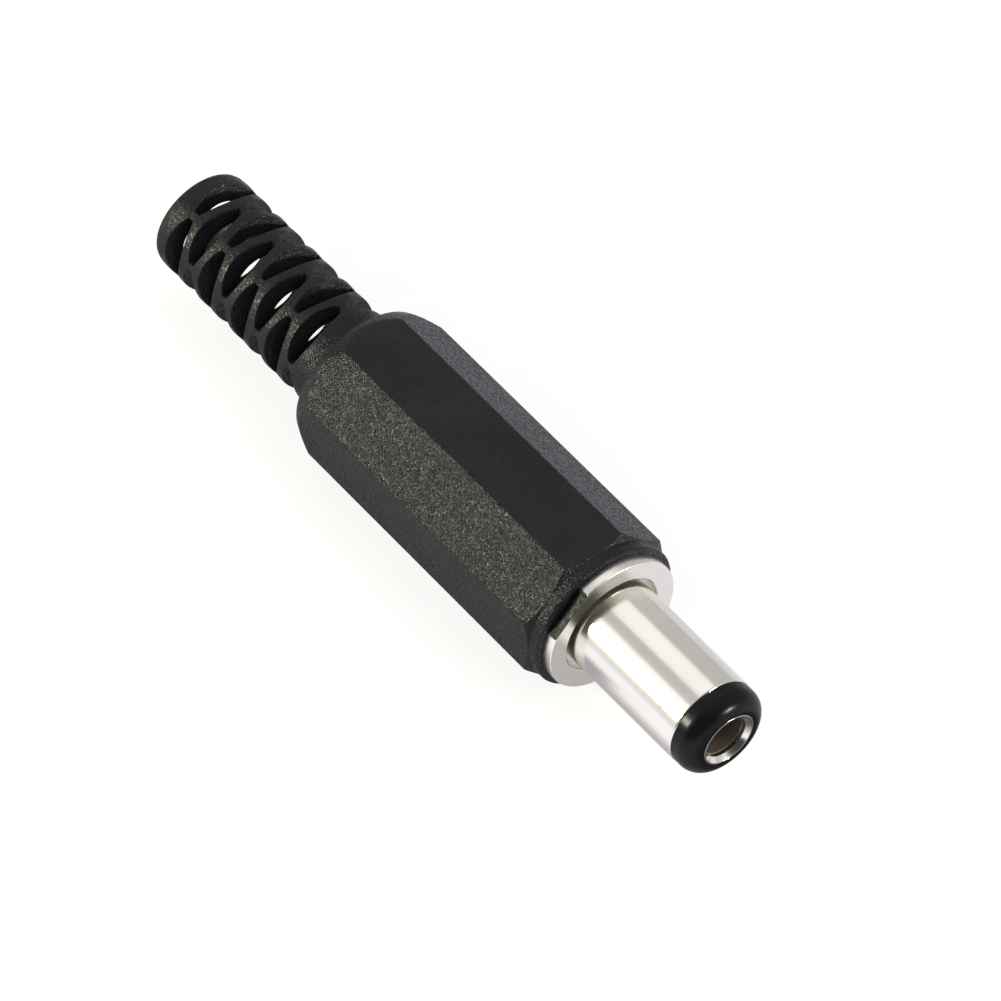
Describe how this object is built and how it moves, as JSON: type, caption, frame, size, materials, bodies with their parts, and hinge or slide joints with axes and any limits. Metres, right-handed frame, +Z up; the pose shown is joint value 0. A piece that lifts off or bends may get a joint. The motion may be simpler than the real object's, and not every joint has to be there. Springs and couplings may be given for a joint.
{
  "type": "dc barrel plug",
  "caption": "Coaxial dc power plug: a plated barrel with a black insulated nose, a flanged threaded collar, and a screw-on octagonal handle with a slotted strain relief.",
  "frame": {"origin": "on the plug's axis, at the collar's mating face, where the free barrel starts", "axes": "+X along the barrel towards its nose, +Z up, with the handle lying on one of its eight flats"},
  "size_m": [0.0457, 0.0092, 0.0092],
  "materials": {
    "handle_plastic": "spark-eroded satin",
    "nickel_turned": "nickel plate over turned brass",
    "nickel_polished": "bright nickel plate",
    "nose_plastic": "gloss",
    "nickel_contact": "bright nickel plate",
    "spring_bronze": "bare phosphor bronze",
    "tinned_strip": "tin plate over brass strip",
    "bush_fibre": "vulcanised fibre"
  },
  "bodies": {
    "plug": {"collar": "nickel_turned", "barrel": "nickel_polished", "nose_insulator": "nose_plastic", "contact_tube": "nickel_contact", "contact_spring": "spring_bronze", "barrel_lug": "tinned_strip", "insulating_bush": "bush_fibre", "centre_lug": "tinned_strip"},
    "cover": {"handle": "handle_plastic"}
  },
  "joints": [
    {"name": "cover_slide", "type": "slide", "parent": "plug", "child": "cover", "axis": [-1, 0, 0], "range_m": [0, 0.022]}
  ]
}
